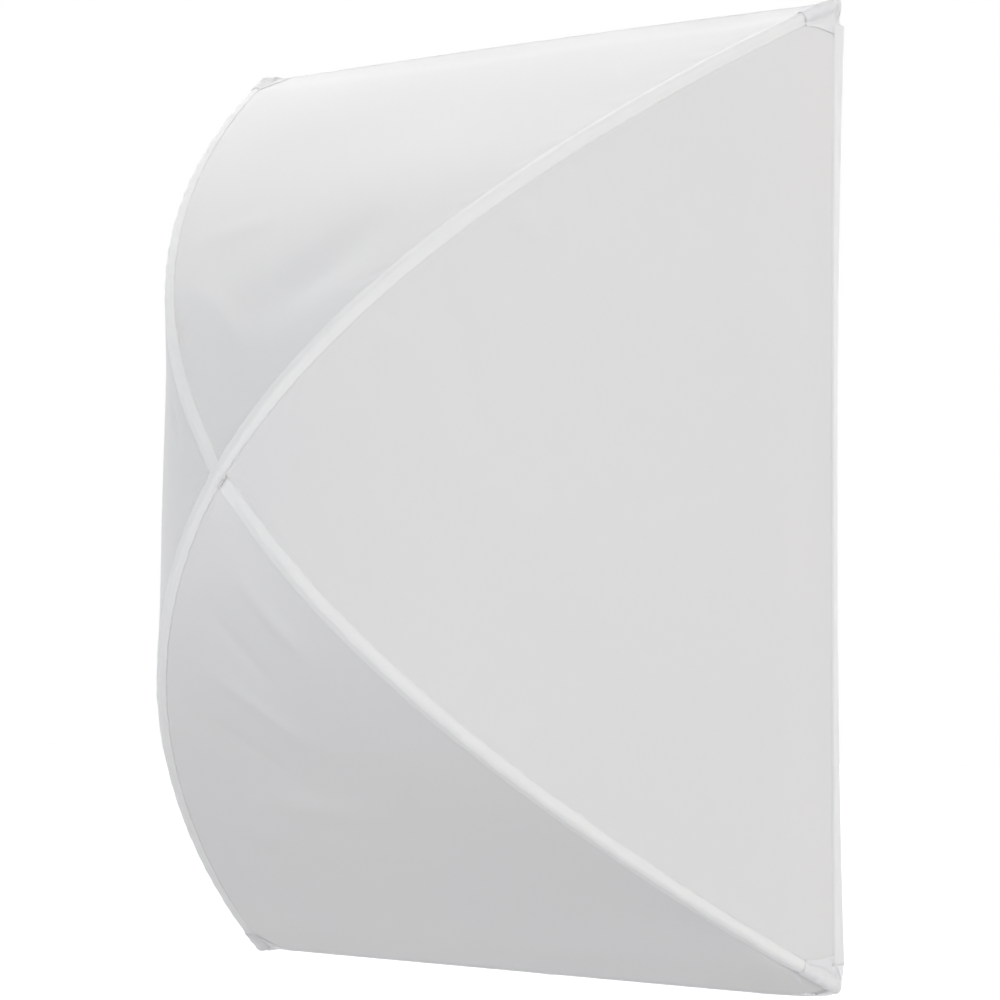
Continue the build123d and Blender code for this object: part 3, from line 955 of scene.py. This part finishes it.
def edge_band(side):
    """Turned strip from the hem of a panel back to the rim, lapped over the hem."""
    across = panel_frame(side)[1]
    half_along = half_hem(side)
    t = np.linspace(-1, 1, 240) * (1 - CORNER_NOTCH / half_along)
    front = hem_line(side, t, HEM_FRONT_PULL, hem_y)
    rear = hem_line(side, t, HEM_REAR_PULL, rim_y)
    lap = front - BEHIND * HEM_LAP - across * HEM_LAP * HEM_SLOPE[side]
    from_corner = half_along * (1 - np.abs(t))
    over = 0.0005 + 0.0011 * smooth(REINFORCEMENT + 0.008, REINFORCEMENT - 0.002, from_corner)
    lift = unit(across - BEHIND * HEM_SLOPE[side]) * over[:, None]
    depth = np.linspace(0, 1, 12)[:, None, None]
    wall = front + (rear - front) * depth
    seed = 90 + list(PANELS).index(side)
    wave = 0.0007 * ripple(seed, t[None, :] * half_along, depth[..., 0] * 0.018, 0.055)
    wave = wave * np.sin(pi * depth[..., 0])
    wall = wall + across * (wave + 0.0004)[..., None]
    grid = np.concatenate([(lap + lift)[None], ((lap + front) / 2 + lift)[None], wall])
    piece = cloth_grids(
        "edge_band_cloth_" + side, [grid], rim_cloth, RIM_THICKNESS, dome_outward, slot="rim_cloth"
    )
    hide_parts("edge_band_" + side)
    middle = (lap + front) / 2 + lift * 1.6
    stitching("hem_stitching_" + side, [(middle, np.broadcast_to(lift, middle.shape))])


def opening_run(side, growth, count):
    """One side of the opening's rounded outline, from one mitre to the next."""
    along, across = panel_frame(side)
    half_sizes = np.array([opening_half_width, 0, opening_half_height])
    half_along, half_across = float(abs(along) @ half_sizes), float(abs(across) @ half_sizes)
    radius = OPENING_CORNER + growth
    straight = half_along - OPENING_CORNER
    total = 2 * (radius * mitre_angle(side) + straight)
    distance = np.linspace(-total / 2, total / 2, count)
    beyond = np.clip(np.abs(distance) - straight, 0, None) / radius
    run = np.sign(distance) * (np.minimum(np.abs(distance), straight) + radius * np.sin(beyond))
    rise = half_across - OPENING_CORNER + radius * np.cos(beyond)
    return along * run[:, None] + across * rise[:, None] + BEHIND * rim_y


def mitre_angle(side):
    """Angle round a corner of the opening at which this side meets the next."""
    across_run = half_width - (opening_half_width - OPENING_CORNER)
    down_run = half_height - (opening_half_height - OPENING_CORNER)
    from_vertical = atan2(across_run, down_run)
    return from_vertical if side in ("top", "bottom") else pi / 2 - from_vertical


def bent(start, middle, end, s):
    """A curve from start to end that passes through middle, s from 0 to 1."""
    handle = 2 * middle - (start + end) / 2
    return (1 - s) ** 2 * start + 2 * s * (1 - s) * handle + s**2 * end


def corner_curve(corner, s):
    """Edge of the rim round a corner of the mouth, s from 0 on its first side to 1."""
    start, end = (
        hem_line(side, place_on_hem(side, corner, RIM_CUT), HEM_REAR_PULL, rim_y)
        for side in panels_at(corner)
    )
    x, _, z = pole_at(corner, 1.0)
    lowest = min(z, start[2], end[2]) if z < 0 else z
    straight = (start + end) / 2
    corner_place = np.array([x, rim_y, lowest])
    middle = straight + (corner_place - straight) * CORNER_FULLNESS[corner] / 2
    return bent(start, middle, end, s[:, None])


def rim_outer(side, count):
    """Outer edge of the rim on one side, with half of the cut corner at each end."""
    t = np.linspace(-1, 1, count)
    inner = np.clip(t / (1 - CORNER_SHARE), -1, 1)
    line = hem_line(side, inner * (1 - RIM_CUT / half_hem(side)), HEM_REAR_PULL, rim_y)
    for corner, at_corner in zip(PANELS[side], (t < CORNER_SHARE - 1, t > 1 - CORNER_SHARE)):
        beyond = (np.abs(t[at_corner]) - (1 - CORNER_SHARE)) / CORNER_SHARE / 2
        share = beyond if panels_at(corner)[0] == side else 1 - beyond
        line[at_corner] = corner_curve(corner, share)
    return line


def rear_rim(side):
    """Flat strip from the hem in to the opening, gathered a little by the elastic."""
    outer, inner = rim_outer(side, RIM_COLUMNS), opening_run(side, -0.001, RIM_COLUMNS)
    across = np.linspace(0, 1, 30)[:, None, None]
    grid = outer + (inner - outer) * across
    u, v = lengths_along(grid, 1), across[..., 0] * 0.1
    seed = 110 + list(PANELS).index(side)
    gathers = 0.0006 * ripple(seed, u, v * 0.2, 0.034) * smooth(0, 1, across[..., 0])
    gathers = gathers + 0.0004 * ripple(seed + 1, u, v, 0.12)
    gathers = gathers * smooth(0, 0.08, across[..., 0]) * smooth(1.0, 0.93, across[..., 0])
    ends = smooth(0, 0.03, 1 - np.abs(np.linspace(-1, 1, RIM_COLUMNS)))[None, :]
    if side in ("left", "right"):  # flat under the tabs
        from_tab = np.abs(np.abs(grid[..., 2]) - TAB_Z)
        gathers = gathers * smooth(0.018, 0.035, from_tab)
    grid = grid + BEHIND * (gathers * ends - 0.0003)[..., None]
    piece = cloth_grids(
        "rear_rim_cloth_" + side, [grid], rim_cloth, RIM_THICKNESS, lambda p: Vector((0, 1, 0)),
        slot="rim_cloth",
    )
    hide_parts("rear_rim_" + side)


def opening_binding():
    """Tape folded over the elastic edge, gathered by it."""
    top, right, bottom, left = (
        opening_run(side, -BINDING_WIDTH / 2, 500)[:-1] for side in ("top", "right", "bottom", "left")
    )
    path = np.concatenate([top, right[::-1], bottom[::-1], left])
    step = np.linalg.norm(np.diff(path, axis=0, append=path[:1]), axis=-1)
    distance = np.cumsum(step)
    along = unit(np.roll(path, -1, axis=0) - np.roll(path, 1, axis=0))
    side = unit(np.cross(along, BEHIND))
    ruffle = 0.0004 * np.sin(distance * 2 * pi / RUFFLE_LENGTH + 1.4 * np.sin(distance * 41))
    columns = []
    for angle in np.linspace(0, 2 * pi, 17)[:-1]:
        wide = np.sign(cos(angle)) * abs(cos(angle)) ** 0.7 * BINDING_WIDTH / 2
        thick = np.sign(sin(angle)) * abs(sin(angle)) ** 0.7 * BINDING_THICKNESS / 2
        columns.append(path + side * wide + BEHIND * (thick + ruffle * sin(angle))[:, None])
    grid = np.stack(columns, axis=1)
    rows, count = grid.shape[:2]
    faces = grid_faces(rows, count, wrap=True)
    last = count * (rows - 1)
    for first in range(count):
        beside = (first + 1) % count
        faces.append((last + first, last + beside, beside, first))
    around_tape = np.broadcast_to(np.arange(count) * 0.0018, (rows, count))
    along_tape = np.broadcast_to(distance[:, None], (rows, count))
    uv = np.stack([around_tape, along_tape], axis=-1).reshape(-1, 2)
    piece = mesh_object(
        "opening_binding_tape", grid.reshape(-1, 3), faces, uv, binding_tape, slot="binding_tape"
    )
    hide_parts("opening_binding")


# ---- Tabs -----------------------------------------------------------------------------------

SOFT_EDGE = 0.0006


def strip_mesh(name, node, end_radius, material, slot, body):
    """Webbing, tape or pile as a thin strip with soft edges, as long and wide as its CAD node."""
    low, high = (np.array(corner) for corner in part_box(node))
    outwards = np.sign(low[0] + high[0])
    near = low[0] if outwards > 0 else high[0]
    straight = high[0] - low[0] - end_radius
    bend = np.linspace(0, pi / 2, 9)[1:]
    run = np.concatenate([np.linspace(0, straight, 30), straight + end_radius * np.sin(bend)])
    narrowing = np.concatenate([np.zeros(30), end_radius * (1 - np.cos(bend))])
    before_start = 1 - np.clip(run / SOFT_EDGE, 0, 1)
    start = SOFT_EDGE * (1 - np.sqrt(1 - before_start**2))
    half_high = (high[2] - low[2]) / 2 - narrowing - start
    half_thick = (high[1] - low[1]) / 2 - 0.0001
    middle = (low + high) / 2
    ring = []
    for angle in np.linspace(0, 2 * pi, 25)[:-1]:
        wide = np.sign(cos(angle)) * abs(cos(angle)) ** 0.25
        thick = np.sign(sin(angle)) * abs(sin(angle)) ** 0.45
        y = middle[1] + thick * half_thick + 0.00012 * np.sin(run * 210 + 2 * wide) * thick
        ring.append(np.stack([near + outwards * run, y, middle[2] + wide * half_high], axis=-1))
    grid = np.stack(ring, axis=1)
    rows, count = grid.shape[:2]
    faces = grid_faces(rows, count, wrap=True)
    faces += [tuple(range(count))[::-1], tuple(range(count * (rows - 1), count * rows))]
    points = grid.reshape(-1, 3)
    uv = np.stack([points[:, 2], np.abs(points[:, 0])], axis=-1)
    piece = mesh_object(name, points, faces, uv, material, body, slot)
    face_outward(piece, lambda point: point - Vector(middle))
    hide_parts(node)
    return piece


def stitched_box(low, high, y, cross):
    """A rectangle of stitches on a flat strip, with or without its diagonals."""
    (x1, z1), (x2, z2) = low, high
    corners = [(x1, z1), (x2, z1), (x2, z2), (x1, z2)]
    lines = list(zip(corners, corners[1:] + corners[:1]))
    if cross:
        lines += [(corners[0], corners[2]), (corners[3], corners[1])]
    rows = []
    for line in lines:
        points = np.array([(x, y, z) for x, z in line])
        rows.append((points, np.broadcast_to([0.0, 1.0, 0.0], points.shape)))
    return rows


def fixture_tab(corner):
    """A hook-and-loop tab with its sewn anchor and the loop pad that it closes on."""
    sign = CORNERS[corner][0]
    hinge = "tab_" + corner
    for name, node, end_radius, material, slot, body in (
        ("tab_webbing_", "fixture_tab_", 0.006, webbing, "tab_webbing", hinge),
        ("tab_anchor_tape_", "tab_anchor_", 0.001, webbing, "tab_webbing", "softbox"),
        ("tab_loop_pad_", "tab_pad_", 0.003, loop_pile, "loop_fastener", "softbox"),
    ):
        piece = strip_mesh(name + corner, node + corner, end_radius, material, slot, body)
        low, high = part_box(node + corner)
    for node, body, extent, cross, prefix in (
        ("fixture_tab_", hinge, (0.004, 0.018), True, "tab_stitching_"),
        ("fixture_tab_", hinge, (0.030, 0.060), False, "tab_hook_stitching_"),
        ("tab_anchor_", "softbox", (0.003, 0.015), True, "anchor_stitching_"),
        ("tab_pad_", "softbox", (0.002, 0.032), False, "pad_stitching_"),
    ):
        low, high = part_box(node + corner)
        near = low.x if sign > 0 else high.x
        ends = sorted(near + sign * reach for reach in extent)
        box_low, box_high = (ends[0], low.z + 0.003), (ends[1], high.z - 0.003)
        stitching(prefix + corner, stitched_box(box_low, box_high, high.y, cross), body)


# ---- Camera, light and floor ----------------------------------------------------------------

WORLD_LEVEL = 0.175
WORLD_LEAN = (0.0, 0.0, 0.03)
WORLD_COLOUR = (0.965, 0.98, 1.0, 1)
LAMP_ANGLE = radians(50)
LAMPS = (  # azimuth from the front towards the right, elevation, share of white, tint
    ("right_lamp", 75, -6, 0.74, (1.0, 0.992, 0.98)),
    ("front_lamp", -15, 0, 0.70, (0.96, 0.983, 1.0)),
    ("back_right_lamp", 120, 30, 0.30, (1.0, 0.985, 0.96)),
    ("top_lamp", -120, 45, 0.53, (1.0, 0.998, 0.985)),
    ("low_lamp", -30, -45, 0.04, (0.93, 0.96, 1.0)),
    ("rear_lamp", 180, 25, 0.27, (1.0, 1.0, 1.0)),
)
FLOOR_GLOW = 0.6
FLOOR_SIZE = 60.0
FLOOR_DROP = 0.75


def add_camera():
    """The photograph's angle: from the right, a little below the middle, looking slightly up."""
    azimuth, pitch, roll = radians(36.36), radians(2.4), radians(0.3)
    distance, height, lateral = 3.391, -0.185, -0.093
    forward = Vector((-sin(azimuth), cos(azimuth), 0))
    right = Vector((cos(azimuth), sin(azimuth), 0))
    up = Vector((0, 0, 1))
    position = Vector((0, hem_y, 0)) - forward * distance + right * lateral + up * height
    looking = forward * cos(pitch) + up * sin(pitch)
    upright = up * cos(pitch) - forward * sin(pitch)
    camera_right = right * cos(roll) + upright * sin(roll)
    camera_up = upright * cos(roll) - right * sin(roll)
    data = bpy.data.cameras.new("camera")
    data.sensor_width = 36
    data.lens = 112.6
    data.shift_x = 0.0544
    data.shift_y = 0.041
    data.clip_start = 0.05
    camera = bpy.data.objects.new("camera", data)
    bpy.context.scene.collection.objects.link(camera)
    axes = Matrix((camera_right, camera_up, -looking)).transposed()
    camera.matrix_world = Matrix.Translation(position) @ axes.to_4x4()
    bpy.context.scene.camera = camera


def seen_directly(tree):
    """1 for rays that see the backdrop itself, straight or in a reflection."""
    path = tree.nodes.new("ShaderNodeLightPath")
    seen = math_node(tree, "MAXIMUM", path.outputs["Is Camera Ray"], path.outputs["Is Glossy Ray"])
    return math_node(tree, "MAXIMUM", seen, path.outputs["Is Transmission Ray"])


def add_world():
    """White studio whose soft light is a little stronger from above."""
    world = bpy.data.worlds.new("studio")
    bpy.context.scene.world = world
    world.use_nodes = True
    tree = world.node_tree
    tree.nodes.clear()
    direction = coordinates(tree, "Generated")
    lean = tree.nodes.new("ShaderNodeVectorMath")
    lean.operation = "DOT_PRODUCT"
    tree.links.new(direction, lean.inputs[0])
    lean.inputs[1].default_value = WORLD_LEAN
    strength = math_node(tree, "ADD", lean.outputs["Value"], WORLD_LEVEL)
    soft = tree.nodes.new("ShaderNodeBackground")
    soft.inputs["Color"].default_value = WORLD_COLOUR
    tree.links.new(strength, soft.inputs["Strength"])
    white = tree.nodes.new("ShaderNodeBackground")
    white.inputs["Color"].default_value = (1, 1, 1, 1)
    mix = tree.nodes.new("ShaderNodeMixShader")
    tree.links.new(seen_directly(tree), mix.inputs["Fac"])
    tree.links.new(soft.outputs[0], mix.inputs[1])
    tree.links.new(white.outputs[0], mix.inputs[2])
    output = tree.nodes.new("ShaderNodeOutputWorld")
    tree.links.new(mix.outputs[0], output.inputs["Surface"])


def add_lamp(name, azimuth, elevation, share, tint):
    """A broad lamp from a direction round the softbox; share is what it adds to white cloth."""
    data = bpy.data.lights.new(name, "SUN")
    data.angle = LAMP_ANGLE
    data.energy = pi * share
    data.color = tint
    lamp = bpy.data.objects.new(name, data)
    bpy.context.scene.collection.objects.link(lamp)
    turn, rise = radians(azimuth), radians(elevation)
    towards = Vector((sin(turn) * cos(rise), -cos(turn) * cos(rise), sin(rise)))
    lamp.location = towards * 4
    lamp.rotation_mode = "QUATERNION"
    lamp.rotation_quaternion = towards.to_track_quat("Z", "Y")


def add_floor():
    """A pale floor below the softbox, which hangs on its light at working height."""
    material = bpy.data.materials.new("pale_floor")
    material.use_nodes = True
    tree = material.node_tree
    shader = tree.nodes["Principled BSDF"]
    shader.inputs["Base Color"].default_value = (0.55, 0.55, 0.56, 1)
    shader.inputs["Roughness"].default_value = 0.9
    glow = tree.nodes.new("ShaderNodeEmission")
    glow.inputs["Color"].default_value = (1, 1, 1, 1)
    strength = math_node(tree, "MULTIPLY", seen_directly(tree), FLOOR_GLOW)
    tree.links.new(strength, glow.inputs["Strength"])
    both = tree.nodes.new("ShaderNodeAddShader")
    tree.links.new(shader.outputs[0], both.inputs[0])
    tree.links.new(glow.outputs[0], both.inputs[1])
    tree.links.new(both.outputs[0], tree.nodes["Material Output"].inputs["Surface"])
    bpy.ops.mesh.primitive_plane_add(size=FLOOR_SIZE, location=(0, 0, cad_low.z - FLOOR_DROP))
    floor = bpy.context.object
    floor.name = "floor"
    floor.data.materials.append(material)


# ---- All pieces -----------------------------------------------------------------------------

bpy.context.scene.view_settings.view_transform = "Standard"
add_camera()
add_world()
for lamp_name, azimuth, elevation, share, tint in LAMPS:
    add_lamp(lamp_name, azimuth, elevation, share, tint)
add_floor()
finish_frame_nodes()
for panel_side in PANELS:
    dome_panel(panel_side)
    edge_band(panel_side)
    rear_rim(panel_side)
for corner in CORNERS:
    sleeve(corner)
    corner_pocket(corner)
    fixture_tab(corner)
crossing_patch("top_right")
crossing_backing()
opening_binding()
